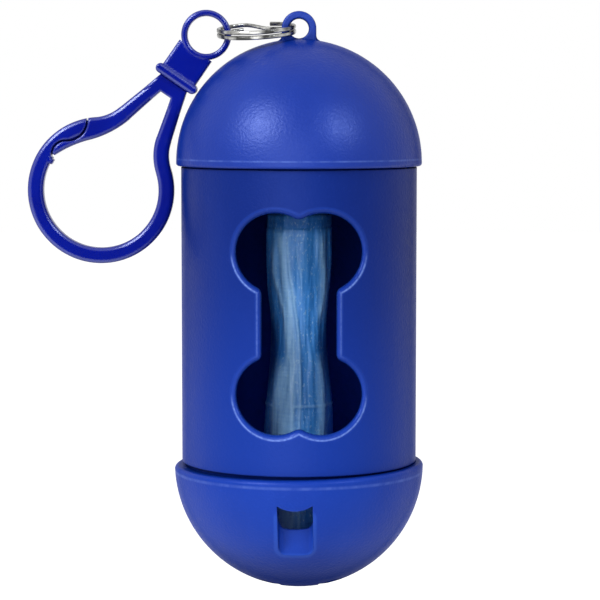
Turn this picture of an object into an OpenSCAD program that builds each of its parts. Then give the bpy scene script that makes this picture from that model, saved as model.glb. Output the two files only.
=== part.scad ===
// Pocket dispenser for a roll of dog waste bags: a tube with a window, two
// push-on caps, a split ring, and a sprung plastic clasp. Millimetres.
// The origin is the centre of the hole in the top cap's loop.
// +Z runs up the case, and the window faces -Y.

/* [Case] */
// Outside diameter of the tube
tube_d = 37.7; // [34:0.1:46]
// Thickness of the tube's wall
tube_wall = 1.55; // [1.2:0.05:2]
// Length of tube that shows between the caps
tube_show = 47.13; // [42:0.01:62]
// How far the top cap stands out past the tube
top_lip = 0.8; // [0.6:0.05:1.6]
// How far the bottom cap stands out past the tube
bottom_lip = 1.2; // [0.9:0.05:1.8]
// Thickness of the top cap's wall
top_wall = 1.9; // [1.5:0.05:2.2]
// Thickness of the bottom cap's wall
bottom_wall = 2.25; // [1.8:0.05:2.6]
// Height of the straight skirt under the top cap's dome
skirt_h = 0.5; // [0.3:0.1:2]
// Radius on the top cap's lower edge
skirt_edge_r = 0.45; // [0.1:0.05:0.5]
// Radius on the bottom cap's upper edge
rim_edge_r = 0.7; // [0.2:0.05:0.8]
// Gap that shows between the tube and the top cap's rim
seam = 0.2; // [0.1:0.05:0.4]

/* [Push fit] */
// Step from the outside of the tube down to the necks in the caps
neck_step = 0.75; // [0.5:0.05:0.9]
// Length of each neck
neck_len = 4.2; // [3:0.1:5]
// Radial clearance between a neck and its socket
push_fit = 0.06; // [0.02:0.01:0.1]
// Room left past the end of a neck
neck_spare = 0.4; // [0.2:0.1:0.6]

/* [Window] */
// Height of the bone-shaped window
window_h = 34.3; // [30:0.1:38]
// Width of the window across its lobes
window_w = 19.5; // [16:0.1:22]
// Width of the window's waist
window_waist = 11.6; // [8:0.1:13]
// Radius of a lobe
lobe_r = 6.1; // [5:0.1:7]
// Radius of the corners between the waist and the lobes
waist_corner_r = 1.1; // [1:0.1:1.6]
// Radius of the crest between two lobes
crest_r = 1.5; // [1.2:0.1:2.5]
// Radius on the window's outer edge
window_edge_r = 0.8; // [0.3:0.05:0.9]
// Height of the window's middle above the tube's
window_shift = -0.13; // [-2:0.01:2]

/* [Front slot] */
// Width of the slot in the bottom cap
slot_w = 5.5; // [4.5:0.1:7]
// Distance from the cap's axis to the slot's back wall
slot_back = 15.8; // [15.2:0.1:16.4]
// Depth of the slot's upper edge below the cap's rim, at the middle
slot_drop = 4.8; // [4.6:0.1:6]
// Radius of the slot's arched upper edge
slot_arch_r = 5; // [4:0.1:9]
// Radius of the slot's back corners
slot_corner_r = 0.9; // [0.4:0.1:1.4]

/* [Outlet] */
// Width of the crossed outlet slots
outlet_w = 2.14; // [1.6:0.02:2.6]
// Radius of the round ends of the outlet slots
outlet_end_r = 1.95; // [1.5:0.05:2.4]
// Distance from the axis to the centre of each round end
outlet_reach = 6.9; // [6:0.1:8]
// Radius of the opening where the slots cross
outlet_mid_r = 1.9; // [1.5:0.1:2.4]

/* [Fitting] */
// Turn of the bottom cap away from straight, as it was pushed on
cap_turn = 2; // [0:0.1:10]
// Tip of the bottom cap away from level, lower on the left
cap_tip = 0.8; // [0:0.05:1]
// Gap left at its rim, since it isn't pushed fully home
cap_gap = 0.47; // [0.4:0.01:0.8]

/* [Loop] */
// Diameter of the hole in the loop
loop_hole_d = 3.12; // [2.9:0.02:4]
// Width of the loop's wall, seen from the front
loop_wall = 1.21; // [1:0.01:1.6]
// Thickness of the loop, front to back
loop_t = 2.6; // [2:0.1:3.2]
// Height of the hole's centre above the dome's crown
loop_rise = 1.65; // [1.4:0.05:2.5]
// Radius on the loop's edges
loop_edge_r = 0.35; // [0.1:0.05:0.5]
// Radius of the fillets at the loop's feet
loop_foot_r = 0.9; // [0.4:0.1:1.4]

/* [Split ring] */
// Outside diameter of the split ring
ring_d = 12.66; // [11:0.02:16]
// Width of the ring's wire, across the ring
wire_w = 0.7; // [0.5:0.05:0.8]
// Thickness of one turn of the wire
wire_t = 0.65; // [0.5:0.05:0.7]
// Distance between the two turns
ring_pitch = 0.8; // [0.7:0.05:0.85]
// Gap between the wire and the loop's wall when the ring is pulled tight
ring_slack = 0.41; // [0.36:0.01:0.5]
// How far the ring droops from level
ring_droop = 3; // [0:1:5]
// How far the ring's far side is tipped up
ring_tip = 8; // [0:1:9]
// Angle that the wire takes to climb from one turn to the next
ring_climb = 44; // [36:1:60]

/* [Clasp] */
// Gap between the hanging clasp and the case that it leans over
lean_gap = 0.23; // [0.1:0.01:1]
// Inside diameter of the clasp's eye
eye_hole_d = 5.98; // [5.6:0.02:8]
// Width of the eye's rim, seen from the front
eye_rim = 0.98; // [0.8:0.02:1.5]
// Thickness of the eye
eye_t = 3; // [2.4:0.1:3.6]
// Radius on the eye's edges
eye_edge_r = 0.45; // [0.2:0.01:0.48]
// Distance from the centre of the split ring's wire to the eye's rim
link_room = 0.95; // [0.84:0.01:1.1]
// Angle below level at which the eye hangs out from the split ring
eye_droop = 10; // [0:1:20]
// Width of the neck below the eye
clasp_neck_w = 6.14; // [5.4:0.02:6.6]
// Thickness of the neck at the eye
neck_top_t = 2.5; // [2:0.1:2.9]
// Thickness of the neck at the collar
neck_base_t = 4.2; // [3.8:0.1:4.6]
// Distance from the eye's centre to the collar's middle
collar_drop = 8.37; // [8:0.05:10]
// Length of the collar
collar_w = 7.5; // [7:0.1:8]
// Height of the collar
collar_h = 1.6; // [1.2:0.1:2]
// Thickness of the collar, front to back
collar_t = 5; // [4.4:0.1:5.4]

/* [Swivel] */
// Diameter of the swivel pin
pin_d = 1.8; // [1.5:0.1:2]
// Diameter of the pin's head
head_d = 2.6; // [2.3:0.1:2.8]
// Height of the pin's head
head_h = 1.5; // [1.2:0.1:1.8]
// Radial clearance of the pin
pin_fit = 0.08; // [0.03:0.01:0.1]
// Play of the hook along its axis
axial_play = 0.1; // [0.05:0.01:0.2]

/* [Hook] */
// Distance from the eye's centre to the middle of the hook's bow
bow_drop = 29.92; // [27:0.1:34]
// Radius of the bow, at the middle of the bar
bow_r = 10.45; // [9:0.05:11]
// Width of the bar round the bow
bar_w = 2.5; // [2:0.1:3]
// Width of an arm where it leaves the head
arm_top_w = 2.05; // [1.7:0.05:2.3]
// Thickness of the hook, front to back
hook_t = 3; // [2.5:0.1:3.4]
// Radius on the hook's edges
hook_edge_r = 0.75; // [0.3:0.05:0.9]
// Angle of each arm from the clasp's axis
arm_angle = 15.5; // [12:0.5:18]
// Distance of each arm from the axis at its root
arm_root_x = 1.86; // [1.7:0.02:2.2]
// Distance from the eye's centre to the arms' roots
arm_root_drop = 10.75; // [10.5:0.05:11.5]
// Radius of the bend between an arm and the bow
bend_r = 8; // [6:0.5:10]
// Distance from the eye's centre to the crotch between the arms
crotch_drop = 11.45; // [11.2:0.05:12]
// Radius of the ledge inside the bow, under the gate's tongue
ledge_r = 8.85; // [8.7:0.05:9.1]
// Direction in which the ledge begins, round the bow from level
ledge_angle = 181.5; // [181:0.5:183]
// Angle that the ledge takes up
ledge_sweep = 5; // [3:0.5:8]

/* [Gate] */
// Clearance round the gate's root
gate_fit = 0.07; // [0.04:0.01:0.1]
// Gap between the gate and the nose
nose_gap = 0.34; // [0.2:0.02:0.4]
// Width of the nose's lip, which laps behind the gate and closes the gap
lip_w = 0.5; // [0.3:0.05:0.7]
// Thickness of the lip
lip_t = 0.8; // [0.5:0.05:1]
// Distance from the clasp's surfaces in to the lip
lip_inset = 0.35; // [0.3:0.05:0.5]
// Clearance between the lip and the gate
lip_fit = 0.12; // [0.06:0.01:0.2]
// Radius of the nose's rounded tip
nose_r = 3.05; // [2.6:0.05:3.4]
// Direction of the tip's centre, round the bow from level
nose_angle = 149.8; // [147:0.2:152]
// Distance from the bow's middle to the tip's centre
nose_reach = 12.36; // [12:0.02:12.8]
// Direction of the centre of the hollow under the nose
hollow_angle = 168.4; // [166:0.2:170]
// Distance from the bow's middle to that centre
hollow_reach = 8.06; // [7.9:0.02:8.3]
// Radius of the convex curve under the gate's head
head_curve_r = 16.2; // [15:0.2:17.4]
// Direction in which that curve turns into the tongue's
tongue_turn = -41.5; // [-43:0.5:-39]
// Radius of the concave curve under the tongue
tongue_curve_r = 17.9; // [16:0.1:20]
// Direction of the tongue's end, round the bow from level
tongue_end_angle = 177; // [172:1:179]

/* [Bags] */
// Outside diameter of the paper core
core_d = 7; // [6:0.1:8]
// Wall of the paper core
core_wall = 0.5; // [0.3:0.1:1]
// Length of the core and of the wound bags
roll_len = 58; // [50:0.5:62]
// Diameter of the tightly wound bags
wound_d = 8.6; // [8.2:0.1:8.8]
// Diameter of the loose outer bag at its foot
bag_foot_d = 11.4; // [10.6:0.1:14]
// Diameter of the loose outer bag at its top
bag_top_d = 10.8; // [10.2:0.1:14]
// Diameter of the loose outer bag at its waist
bag_waist_d = 9.4; // [9.2:0.1:10]
// Distance from the window's upper edge down to the outer bag's edge
bag_edge_drop = 2.5; // [1.5:0.1:5]
// Diameter of the gathered end at the outlet
tail_d = 1.4; // [1:0.1:2.4]
// Gap between the roll and the bottom cap
roll_gap = 0.3; // [0.2:0.05:0.6]

/* [Hidden] */
$fn = 96;
slice_fn = 16;
bar_fn = 32;
// Overlap of pieces that are joined, and overrun of cuts
eps = 0.01;
over = 1;

// Radii of the case
tube_r = tube_d / 2;
bore_r = tube_r - tube_wall;
neck_r = tube_r - neck_step;
socket_r = neck_r + push_fit;
top_r = tube_r + top_lip;
bottom_r = tube_r + bottom_lip;

// Levels of the case, from the loop's hole down
top_c = -(loop_rise + top_r);
skirt_z = top_c - skirt_h;
tube_top = skirt_z - seam;
tube_bottom = tube_top - tube_show;
bottom_c = tube_bottom - cap_gap;
window_c = (tube_top + tube_bottom) / 2 + window_shift;
socket_depth = neck_len + seam + neck_spare;
neck_chamfer = 0.3;

// Window outline, worked out from its radii
lobe_x = window_w / 2 - lobe_r;
lobe_z = window_h / 2 - lobe_r;
waist_x = window_waist / 2 + waist_corner_r;
waist_z = lobe_z - sqrt(pow(lobe_r + waist_corner_r, 2) - pow(waist_x - lobe_x, 2));
crest_z = lobe_z + sqrt(pow(lobe_r + crest_r, 2) - pow(lobe_x, 2));
lobe_a0 = atan2(waist_z - lobe_z, waist_x - lobe_x);
lobe_a1 = atan2(crest_z - lobe_z, -lobe_x);
arc_steps = [5, 22, 3];
// Plane behind the front wall where the window's cutter starts
window_plane = over - sqrt(pow(bore_r, 2) - pow(window_w / 2, 2));

// Openings of the bottom cap, and the middle of the stretch of neck in its socket, where it tips
cap_pivot = (neck_len - cap_gap) / 2;
slot_sag = slot_arch_r - sqrt(pow(slot_arch_r, 2) - pow(slot_w / 2, 2));
outlet_rise = bottom_r - sqrt(pow(bottom_r - bottom_wall, 2) - pow(outlet_reach + outlet_end_r, 2));

// Split ring, laid from the loop's hole towards -X
loop_hole_r = loop_hole_d / 2;
loop_r = loop_hole_r + loop_wall;
wire_r = (ring_d - wire_w) / 2;
near_wire = loop_hole_r - ring_slack - wire_w / 2;
ring_c = near_wire + wire_r;
far_wire = near_wire + 2 * wire_r;
wire_edge_r = 0.22;
link_p = [-far_wire * cos(ring_droop), -far_wire * sin(ring_droop)];

// Clasp, drawn flat with the eye's centre as its origin and then stood up
eye_hole_r = eye_hole_d / 2;
eye_reach = eye_hole_r - link_room;
eye_p = link_p + eye_reach * [-cos(eye_droop), -sin(eye_droop)];
bow_c = [0, -bow_drop];
collar_end = [collar_w / 2 - collar_h / 2, -collar_drop];
bow_out_r = bow_r + bar_w / 2;
collar_top = -collar_drop + collar_h / 2;
collar_base = -collar_drop - collar_h / 2;
hook_top = collar_base - axial_play;

// Tilt of the clasp's axis from the vertical, where its collar or its bow leans on the case
dome_to_eye = eye_p - [0, top_c];
collar_lean_r = top_r + lean_gap + collar_h / 2;
lean_cos = (pow(collar_lean_r, 2) - pow(norm(dome_to_eye), 2) - pow(norm(collar_end), 2))
    / (2 * norm(dome_to_eye) * norm(collar_end));
collar_lean = 360 + atan2(collar_end[1], collar_end[0]) - atan2(dome_to_eye[1], dome_to_eye[0])
    - acos(lean_cos);
bow_lean = asin((top_r + lean_gap + bow_out_r + eye_p[0]) / bow_drop);
clasp_tilt = max(collar_lean, bow_lean);

// Arms: a straight stretch, a bend of bend_r, then the bow
arm_n = [cos(arm_angle), sin(arm_angle)];
arm_d = [sin(arm_angle), -cos(arm_angle)];
arm_root = [arm_root_x, -arm_root_drop];
arm_off = (arm_root - bow_c) * arm_n;
bend_a = arm_angle + acos((arm_off + bend_r) / (bow_r + bend_r));
bend_c = bow_c + (bow_r + bend_r) * [cos(bend_a), sin(bend_a)];
arm_end = bend_c - bend_r * arm_n;
arm_len = (arm_end - arm_root) * arm_d;
arm_embed = 0.2;
bend_lap = 1.1;
block_top_x = arm_root_x + arm_top_w / 4;

// Nose and gate
gate_p = [-arm_root[0], arm_root[1]];
neck_edge_r = 0.4;
gate_swing = 18;
head_depth = 5.2;
tongue_sweep = 27;
bow_lead = 20;
head_c = [-arm_end[0], arm_end[1]] + (head_curve_r - bar_w / 2) * [-arm_n[0], arm_n[1]];
tongue_c = head_c + (head_curve_r + tongue_curve_r) * [cos(tongue_turn), sin(tongue_turn)];
nose_c = bow_c + nose_reach * [cos(nose_angle), sin(nose_angle)];
hollow_c = bow_c + hollow_reach * [cos(hollow_angle), sin(hollow_angle)];
hollow_r = norm(nose_c - hollow_c) - nose_r;

// Bags
core_lift = 1;
wound_fit = 0.05;
tail_short = 0.6;
bag_steps = 16;
tail_steps = 10;
roll_z = bottom_c - sqrt(pow(bottom_r - bottom_wall, 2) - pow(bag_foot_d / 2, 2)) + roll_gap;
bag_edge_z = window_c + window_h / 2 - bag_edge_drop;

// Rounded rectangle, w across and t tall, with corners of radius e
module bar_profile(w, t, e) {
    square([w - 2 * e, t], center = true);
    square([w, t - 2 * e], center = true);
    for (x = [-1, 1], y = [-1, 1])
        translate([x * (w / 2 - e), y * (t / 2 - e)]) circle(e);
}

// Bar bent round a point of the flat drawing, from angle a0 to angle a1
module bar_arc(c, r, w, t, e, a0, a1) {
    translate([c[0], c[1], 0]) rotate([0, 0, a0])
        rotate_extrude(angle = a1 - a0) translate([r, 0]) bar_profile(w, t, e);
}

// Puts a flat drawing of the clasp where it hangs
module on_clasp() {
    translate([eye_p[0], 0, eye_p[1]]) rotate([0, clasp_tilt, 0]) rotate([90, 0, 0]) children();
}

// Top cap: dome, skirt, socket for the tube's neck, and hanging loop
module top_cap() {
    color([0.09, 0.2, 0.6]) {
        rotate_extrude()
            difference() {
                top_outline();
                translate([0, top_c]) circle(top_r - top_wall);
                translate([-over, skirt_z - over]) square([socket_r + over, socket_depth + over]);
                translate([-over, skirt_z - over]) square([over, top_r + 2 * over]);
            }
        loop();
    }
}

// Half section of the top cap's outside: a quarter circle on a straight skirt with a rounded edge
module top_outline() {
    intersection() {
        translate([0, top_c]) circle(top_r);
        translate([0, top_c]) square([top_r + over, top_r + over]);
    }
    translate([0, skirt_z + skirt_edge_r]) square([top_r, skirt_h - skirt_edge_r]);
    translate([0, skirt_z]) square([top_r - skirt_edge_r, skirt_h]);
    translate([top_r - skirt_edge_r, skirt_z + skirt_edge_r]) circle(skirt_edge_r);
}

// Hanging loop with rounded edges, legs into the dome, and fillets at its feet
module loop() {
    mid = loop_hole_r + loop_wall / 2;
    foot = loop_rise + over;
    fillet_x = loop_r + loop_foot_r;
    dome_z = top_c + sqrt(pow(top_r, 2) - pow(fillet_x, 2));
    rotate([90, 0, 0]) bar_arc([0, 0], mid, loop_wall, loop_t, loop_edge_r, 0, 360);
    for (x = [-1, 1])
        translate([x * mid, 0, -foot]) linear_extrude(foot)
            bar_profile(loop_wall, loop_t, loop_edge_r);
    rotate([90, 0, 0]) linear_extrude(loop_t - 2 * loop_edge_r, center = true)
        for (side = [0, 1])
            mirror([side, 0]) difference() {
                translate([loop_r - loop_edge_r, dome_z - loop_foot_r])
                    square([loop_foot_r + loop_edge_r, 2 * loop_foot_r]);
                translate([fillet_x, dome_z + loop_foot_r]) circle(loop_foot_r);
            }
}

// Points of the window's outline, grown by g, seen from the front
function arc(c, r, a0, a1, i0, n) =
    [for (i = [i0:n]) c + r * [cos(a0 + (a1 - a0) * i / n), sin(a0 + (a1 - a0) * i / n)]];
function window_quarter(g) = concat(
    arc([waist_x, waist_z], waist_corner_r - g, 180, 180 + lobe_a0, 0, arc_steps[0]),
    arc([lobe_x, lobe_z], lobe_r + g, lobe_a0, lobe_a1, 1, arc_steps[1]),
    arc([0, crest_z], crest_r - g, lobe_a1 - 180, -90, 1, arc_steps[2]));
function window_half(q) = concat([for (i = [len(q) - 1:-1:0]) [q[i][0], -q[i][1]]], q);
function window_loop(h) = concat(h, [for (i = [len(h) - 2:-1:1]) [-h[i][0], h[i][1]]]);

// Steps of the window's rounded edge: growth of the outline, depth below the tube's surface.
// The last step leads out past the surface, by a share of the edge's radius each way
edge_turns = [0, 18, 36, 54, 72];
edge_lead = [0.4, -0.2];
edge_steps = [for (a = edge_turns) window_edge_r * [1 - cos(a), 1 - sin(a)]];
edge_exit = edge_steps[len(edge_steps) - 1] + window_edge_r * edge_lead;

// One ring of the window's cutter, on a plane at y or at a depth below the surface
function ring_on_plane(g, y) =
    [for (p = window_loop(window_half(window_quarter(g)))) [p[0], y, window_c + p[1]]];
function ring_at_depth(g, d) = [for (p = window_loop(window_half(window_quarter(g))))
    [p[0], -sqrt(pow(tube_r - d, 2) - pow(p[0], 2)), window_c + p[1]]];

// Solid that cuts the window, straight through the front wall and flared at its outer edge
module window_cutter() {
    rings = concat(
        [ring_on_plane(0, window_plane)],
        [for (s = edge_steps) ring_at_depth(s[0], s[1])],
        [ring_at_depth(edge_exit[0], edge_exit[1])],
        [ring_on_plane(edge_exit[0], -tube_r - over)]);
    n = len(rings[0]);
    last = len(rings) - 1;
    walls = [for (k = [0:last - 1], i = [0:n - 1]) let (j = (i + 1) % n)
        [k * n + i, (k + 1) * n + i, (k + 1) * n + j, k * n + j]];
    polyhedron(
        points = [for (r = rings, p = r) p],
        faces = concat(walls, [[for (i = [0:n - 1]) i]], [[for (i = [n - 1:-1:0]) last * n + i]]),
        convexity = 6);
}

// Tube with a bone-shaped window and a stepped neck at each end
module tube() {
    color([0.15, 0.25, 0.65])
        difference() {
            union() {
                translate([0, 0, tube_bottom]) cylinder(r = tube_r, h = tube_show);
                translate([0, 0, tube_top - eps]) neck();
                translate([0, 0, tube_bottom + eps]) mirror([0, 0, 1]) neck();
            }
            translate([0, 0, tube_bottom - neck_len - over])
                cylinder(r = bore_r, h = tube_show + 2 * neck_len + 2 * over);
            window_cutter();
        }
}

// Neck that a cap is pushed on to, with a lead-in at its end
module neck() {
    cylinder(r = neck_r, h = neck_len - neck_chamfer + eps);
    translate([0, 0, neck_len - neck_chamfer])
        cylinder(r1 = neck_r, r2 = neck_r - neck_chamfer, h = neck_chamfer);
}

// Bottom cap, drawn round its dome's centre: dome, rounded rim, socket, front slot, and crossed outlet
module bottom_cap() {
    color([0.17, 0.25, 0.68])
        translate([0, 0, bottom_c - cap_pivot]) rotate([0, -cap_tip, -cap_turn]) translate([0, 0, cap_pivot])
            difference() {
                union() {
                    difference() {
                        sphere(bottom_r);
                        translate([0, 0, -rim_edge_r]) cylinder(r = bottom_r + over, h = 2 * bottom_r);
                    }
                    rim();
                }
                sphere(bottom_r - bottom_wall);
                translate([0, 0, cap_gap - neck_len - neck_spare])
                    cylinder(r = socket_r, h = neck_len + neck_spare + over);
                front_slot();
                outlet();
            }
}

// Rounded upper edge of the bottom cap
module rim() {
    r = sqrt(pow(bottom_r, 2) - pow(rim_edge_r, 2)) - rim_edge_r;
    rotate_extrude() {
        translate([socket_r - over, -2 * rim_edge_r]) square([r - socket_r + over, 2 * rim_edge_r]);
        translate([r, -rim_edge_r]) circle(rim_edge_r);
    }
}

// Upright pocket in the cap's front, which opens where it meets the hollow inside
module front_slot() {
    depth = bottom_r - slot_back + over;
    r = slot_corner_r;
    difference() {
        translate([0, -slot_back, -bottom_r])
            linear_extrude(bottom_r - slot_drop + slot_sag + over) {
                translate([-slot_w / 2 + r, -depth]) square([slot_w - 2 * r, depth]);
                translate([-slot_w / 2, -depth]) square([slot_w, depth - r]);
                for (x = [-1, 1])
                    translate([x * (slot_w / 2 - r), -r]) circle(r);
            }
        translate([0, 0, slot_arch_r - slot_drop]) rotate([90, 0, 0])
            cylinder(r = slot_arch_r, h = bottom_r + over);
    }
}

// Two crossed slots with round ends, through the foot of the dome
module outlet() {
    translate([0, 0, -bottom_r - over])
        linear_extrude(outlet_rise + 2 * over) {
            circle(outlet_mid_r);
            for (a = [45, 135])
                rotate(a) {
                    square([2 * outlet_reach, outlet_w], center = true);
                    for (x = [-1, 1])
                        translate([x * outlet_reach, 0]) circle(outlet_end_r);
                }
        }
}

// Split ring: two flat turns of wire joined by a short climb
module split_ring() {
    a0 = 90 + ring_climb / 2;
    steps = 6;
    color([0.75, 0.75, 0.76])
        rotate([0, -ring_droop, 0]) rotate([ring_tip, 0, 0]) translate([-ring_c, 0, 0]) {
            for (z = [-1, 1])
                translate([0, 0, z * ring_pitch / 2]) rotate([0, 0, a0])
                    rotate_extrude(angle = 360 - ring_climb) translate([wire_r, 0])
                        bar_profile(wire_w, wire_t, wire_edge_r);
            for (i = [0:steps - 1])
                hull() {
                    wire_slice(i / steps);
                    wire_slice((i + 1) / steps);
                }
        }
}

// Thin slice of the wire, part of the way up the climb
module wire_slice(part) {
    rotate([0, 0, 90 + ring_climb * (part - 0.5)])
        translate([wire_r, 0, -ring_pitch / 2 * cos(180 * part)]) rotate([90, 0, 0])
            linear_extrude(4 * eps, center = true)
                bar_profile(wire_w - 2 * eps, wire_t - 2 * eps, wire_edge_r, $fn = slice_fn);
}

// Upper half of the clasp: eye, neck and collar, bored for the swivel pin
module clasp_eye() {
    head_room = [pin_d, head_d] / 2 + [pin_fit, pin_fit] * 2;
    chamber_y = collar_top + axial_play * 2;
    color([0.05, 0.12, 0.6]) on_clasp() {
        bar_arc([0, 0], eye_hole_r + eye_rim / 2, eye_rim, eye_t, eye_edge_r, 0, 360);
        difference() {
            union() {
                neck_wedge();
                collar();
            }
            translate([0, 0, -collar_t]) cylinder(r = eye_hole_r + eye_rim / 2, h = 2 * collar_t);
            translate([0, collar_base - over, 0]) rotate([-90, 0, 0])
                cylinder(r = pin_d / 2 + pin_fit, h = chamber_y - collar_base + over + eps);
            translate([0, chamber_y, 0]) rotate([-90, 0, 0])
                cylinder(r1 = head_room[1], r2 = head_room[0], h = head_h + 2 * axial_play);
        }
    }
}

// Neck that thins from the collar up to the eye, with chamfered long edges
module neck_wedge() {
    slope = (neck_base_t - neck_top_t) / 2 / (collar_drop - eye_hole_r);
    difference() {
        rotate([90, 0, 90])
            linear_extrude(clasp_neck_w, center = true)
                polygon([
                    [-collar_drop, -neck_base_t / 2],
                    [-eye_hole_r, -neck_top_t / 2],
                    [-eye_hole_r, neck_top_t / 2],
                    [-collar_drop, neck_base_t / 2]]);
        for (side = [-1, 1], face = [-1, 1])
            translate([side * clasp_neck_w / 2, -collar_drop, face * neck_base_t / 2])
                rotate([-face * atan(slope), 0, 0]) rotate([0, 45, 0])
                    cube([neck_edge_r, 4 * collar_drop, neck_edge_r], center = true);
    }
}

// Collar across the foot of the neck, rounded as seen from the front and from the side
module collar() {
    e = collar_h / 2 - eps;
    translate([0, -collar_drop, 0])
        intersection() {
            linear_extrude(collar_t + over, center = true) bar_profile(collar_w, collar_h, e);
            rotate([0, 90, 0])
                linear_extrude(collar_w + over, center = true)
                    bar_profile(collar_t, collar_h + 2 * eps, e);
        }
}

// Lower half of the clasp: pin, head block, fixed arm, bow with its ledge, nose and lip
module clasp_hook() {
    head_y = collar_top + axial_play * 3;
    color([0.05, 0.12, 0.6]) on_clasp() {
        translate([0, hook_top - over, 0]) rotate([-90, 0, 0])
            cylinder(d = pin_d, h = head_y - hook_top + over + eps);
        translate([0, head_y, 0]) rotate([-90, 0, 0]) cylinder(d1 = head_d, d2 = pin_d, h = head_h);
        hook_block();
        arm(1);
        bar_arc(bend_c, bend_r, bar_w - 2 * eps, hook_t - 2 * eps, hook_edge_r,
            180 + arm_angle, 180 + bend_a + bend_lap);
        difference() {
            bar_arc(bow_c, bow_r, bar_w, hook_t, hook_edge_r, nose_angle - bow_lead, 360 + bend_a);
            linear_extrude(2 * hook_t, center = true)
                difference() {
                    translate(bow_c) translate([-bow_out_r - over, 0])
                        square([bow_r, bow_out_r + over]);
                    nose_side(0);
                }
        }
        bar_arc(bow_c, (ledge_r + bow_r) / 2, bow_r - ledge_r, hook_t - 2 * eps, hook_edge_r,
            ledge_angle, ledge_angle + ledge_sweep);
        nose_lip();
    }
}

// Lip at the back of the nose, inside the outline of the gate that it laps
module nose_lip() {
    translate([0, 0, lip_inset - hook_t / 2])
        linear_extrude(lip_t)
            difference() {
                intersection() {
                    nose_side(nose_gap + lip_w);
                    translate(bow_c) circle(bow_out_r - lip_inset);
                    translate(bow_c) translate([-bow_out_r, 0]) square(bow_out_r);
                }
                translate(tongue_c) circle(tongue_curve_r + lip_inset);
            }
}

// Straight arm on one side, from its root into the start of the bend
module arm(side) {
    translate([side * arm_root[0], arm_root[1]]) rotate([0, 0, side * arm_angle])
        hull() {
            flat_slice(0, arm_top_w, hook_t - 4 * eps, hook_edge_r);
            flat_slice(-arm_len - arm_embed, bar_w - 6 * eps, hook_t - 4 * eps, hook_edge_r);
        }
}

// Thin slice of a bar with rounded edges, level at height y of the flat drawing
module flat_slice(y, w, t, e) {
    translate([0, y, 0]) rotate([90, 0, 0])
        linear_extrude(2 * eps, center = true) bar_profile(w, t, e, $fn = bar_fn);
}

// Block under the collar that carries the pin and both arms
module hook_block() {
    r = arm_top_w / 2;
    linear_extrude(hook_t - hook_edge_r, center = true)
        difference() {
            polygon([
                [-block_top_x, hook_top],
                [block_top_x, hook_top],
                arm_root + r * arm_n,
                arm_root - r * arm_n - [0, r / 2],
                [arm_root_x - r, -crotch_drop],
                [-arm_root_x + r, -crotch_drop],
                [-arm_root[0], arm_root[1]] + r * [-arm_n[0], arm_n[1]]]);
            translate(gate_p) circle(r + gate_fit);
            gate_way(r + gate_fit);
        }
}

// Space that the gate's arm sweeps below its root
module gate_way(r) {
    inner = [cos(gate_swing - arm_angle), sin(gate_swing - arm_angle)];
    polygon([
        gate_p,
        gate_p + r * [-arm_n[0], arm_n[1]],
        gate_p + r * [-arm_n[0], arm_n[1]] - [2 * r, 3 * r],
        gate_p + r * inner - [0, 3 * r],
        gate_p + r * inner]);
}

// Side of the line between nose and gate that is the nose's, grown by g
module nose_side(g) {
    difference() {
        union() {
            translate(nose_c) circle(nose_r + g);
            polygon([
                nose_c,
                hollow_c,
                [hollow_c[0], bow_c[1] - over],
                [-bow_out_r - 2 * over, bow_c[1] - over],
                [-bow_out_r - 2 * over, nose_c[1]]]);
        }
        translate(hollow_c) circle(hollow_r - g);
    }
}

// Sprung arm of the clasp, from its root to the tongue under the nose
module clasp_gate() {
    color([0.05, 0.12, 0.6]) on_clasp() {
        translate(gate_p) cylinder(d = arm_top_w, h = hook_t - hook_edge_r, center = true);
        arm(-1);
        difference() {
            intersection() {
                gate_outside();
                gate_inside();
            }
            linear_extrude(2 * hook_t, center = true) nose_side(nose_gap);
            translate([0, 0, -hook_t])
                linear_extrude(hook_t / 2 + lip_inset + lip_t + lip_fit)
                    nose_side(nose_gap + lip_w + lip_fit);
        }
    }
}

// Deep bar along the outer line of the gate's head
module gate_outside() {
    left_bend = [-bend_c[0], bend_c[1]];
    bar_arc(left_bend, bend_r + (head_depth - bar_w) / 2, head_depth - 2 * eps, hook_t - 2 * eps,
        hook_edge_r, -bend_a - bend_lap, -arm_angle);
    bar_arc(bow_c, bow_out_r - head_depth / 2, head_depth, hook_t, hook_edge_r,
        180 - bend_a, tongue_end_angle);
}

// Deep bar along the inner line of the gate's head and tongue
module gate_inside() {
    turn = 180 + tongue_turn;
    bar_arc(head_c, head_curve_r - head_depth, 2 * head_depth, hook_t + 4 * eps, hook_edge_r,
        tongue_turn, -arm_angle + bend_lap);
    bar_arc(tongue_c, tongue_curve_r + head_depth, 2 * head_depth - 2 * eps, hook_t + 2 * eps, hook_edge_r,
        turn - bend_lap / 2, turn + tongue_sweep);
}

// Paper core of the roll
module roll_core() {
    color([0.72, 0.6, 0.45])
        translate([0, 0, roll_z + core_lift])
            difference() {
                cylinder(d = core_d, h = roll_len - core_lift);
                translate([0, 0, -over]) cylinder(d = core_d - 2 * core_wall, h = roll_len + over);
            }
}

// Tightly wound bags round the core
module bag_roll() {
    color([0.2, 0.42, 0.62])
        translate([0, 0, roll_z + core_lift])
            difference() {
                cylinder(d = wound_d, h = roll_len);
                translate([0, 0, -over]) cylinder(r = core_d / 2 + wound_fit, h = roll_len + 2 * over);
            }
}

// Loose outer bag, slack round the wound ones
module outer_bag() {
    bore = wound_d / 2 + 2 * wound_fit;
    h = bag_edge_z - roll_z;
    color([0.3, 0.5, 0.7])
        rotate_extrude()
            polygon(concat(
                [[bore, bag_edge_z], [bore, roll_z + core_lift / 2]],
                [for (i = [0:bag_steps]) [bag_radius(i / bag_steps), roll_z + h * i / bag_steps]]));
}

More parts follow.
